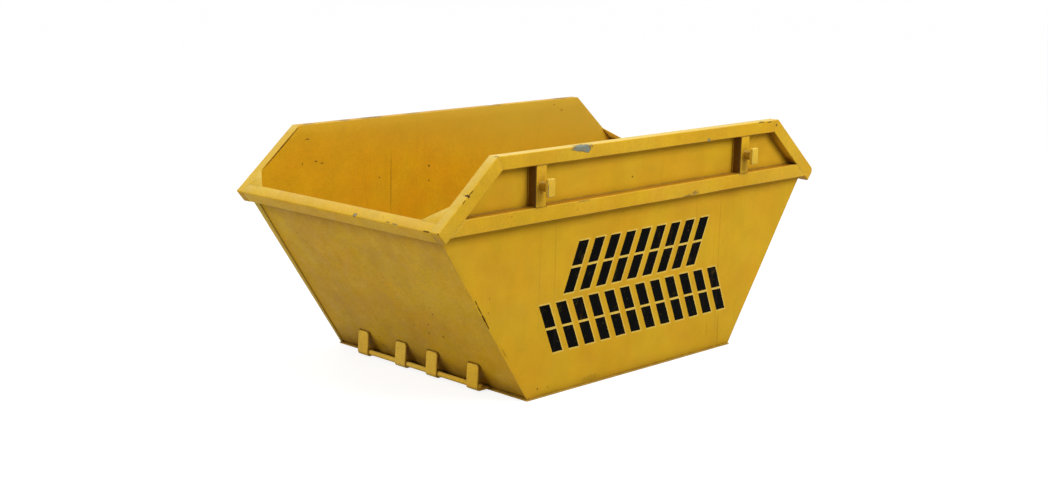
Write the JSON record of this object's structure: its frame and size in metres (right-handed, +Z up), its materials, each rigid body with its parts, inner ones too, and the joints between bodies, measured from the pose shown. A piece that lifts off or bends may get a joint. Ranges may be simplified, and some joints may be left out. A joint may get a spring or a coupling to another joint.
{
  "type": "builders skip",
  "caption": "Open-topped steel skip with sloping ends, folded rails along its shouldered sides, lifting lugs on posts and a tipping bar low on each end.",
  "frame": {"origin": "on the ground under the middle of the skip", "axes": "+X along the skip towards its rear end, +Y across it towards its far side, +Z up"},
  "size_m": [2.676, 1.514, 1.128],
  "materials": {
    "shell": "site-worn gloss enamel on steel sheet, scuffed inside",
    "rails": "site-worn gloss enamel, chipped along the edges",
    "lugs": "worn enamel, rubbed to metal where chains bear",
    "tipping_gear": "worn enamel, rubbed to metal where hooks bear"
  },
  "bodies": {
    "root": {"floor_plate": "shell", "side_plate_near": "shell", "top_rail_near": "rails", "waist_rail_near": "rails", "side_plate_far": "shell", "top_rail_far": "rails", "waist_rail_far": "rails", "end_plate_front": "shell", "end_rim_front": "rails", "tip_bar_front": "tipping_gear", "slope_rail_front_near": "rails", "corner_gusset_front_near": "shell", "lug_post_front_near": "rails", "lug_pin_front_near": "lugs", "lug_head_front_near": "lugs", "tip_bracket_front_outer_near": "tipping_gear", "tip_bracket_front_inner_near": "tipping_gear", "slope_rail_front_far": "rails", "corner_gusset_front_far": "shell", "lug_post_front_far": "rails", "lug_pin_front_far": "lugs", "lug_head_front_far": "lugs", "tip_bracket_front_outer_far": "tipping_gear", "tip_bracket_front_inner_far": "tipping_gear", "end_plate_rear": "shell", "end_rim_rear": "rails", "tip_bar_rear": "tipping_gear", "slope_rail_rear_near": "rails", "corner_gusset_rear_near": "shell", "lug_post_rear_near": "rails", "lug_pin_rear_near": "lugs", "lug_head_rear_near": "lugs", "tip_bracket_rear_outer_near": "tipping_gear", "tip_bracket_rear_inner_near": "tipping_gear", "slope_rail_rear_far": "rails", "corner_gusset_rear_far": "shell", "lug_post_rear_far": "rails", "lug_pin_rear_far": "lugs", "lug_head_rear_far": "lugs", "tip_bracket_rear_outer_far": "tipping_gear", "tip_bracket_rear_inner_far": "tipping_gear"}
  },
  "joints": []
}
